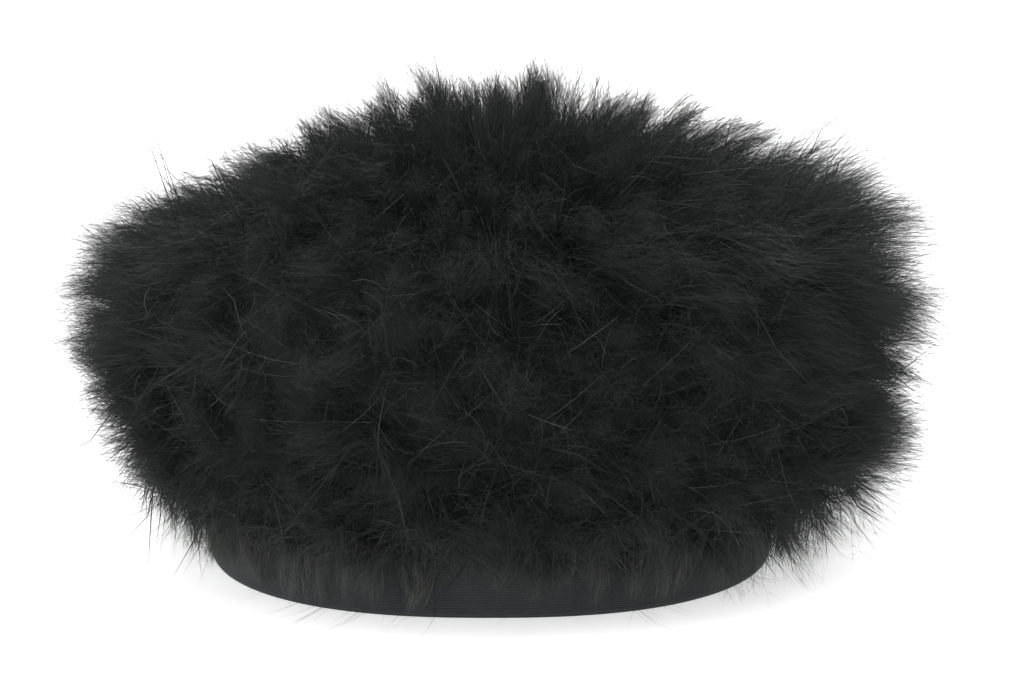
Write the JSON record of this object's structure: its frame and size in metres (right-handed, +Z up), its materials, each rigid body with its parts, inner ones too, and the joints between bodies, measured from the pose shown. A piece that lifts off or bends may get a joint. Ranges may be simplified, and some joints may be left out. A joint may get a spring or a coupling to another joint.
{
  "type": "marabou feather hat",
  "caption": "Brimless rounded feather hat: a hollow cloth crown in rows of black marabou plumes above a narrow ribbed band.",
  "frame": {"origin": "middle of the hat at the level of the band's lower edge, on the surface it stands on", "axes": "-Y to the hat's front, +X to the side with the fuller plumes, +Z up to the top of the hat"},
  "size_m": [0.2455, 0.2771, 0.1363],
  "materials": {
    "crown_cloth": "matt plain black cloth",
    "ribbed_band": "fine cross-ribbed black ribbon, matt with a faint sheen",
    "marabou": "soft black down with fine glossy hairs"
  },
  "bodies": {
    "root": {"crown": "crown_cloth", "band": "ribbed_band", "marabou_row_1": "marabou", "marabou_row_2": "marabou", "marabou_row_3": "marabou", "marabou_row_4": "marabou", "marabou_row_5": "marabou", "marabou_row_6": "marabou", "marabou_row_7": "marabou", "marabou_centre": "marabou"}
  },
  "joints": []
}
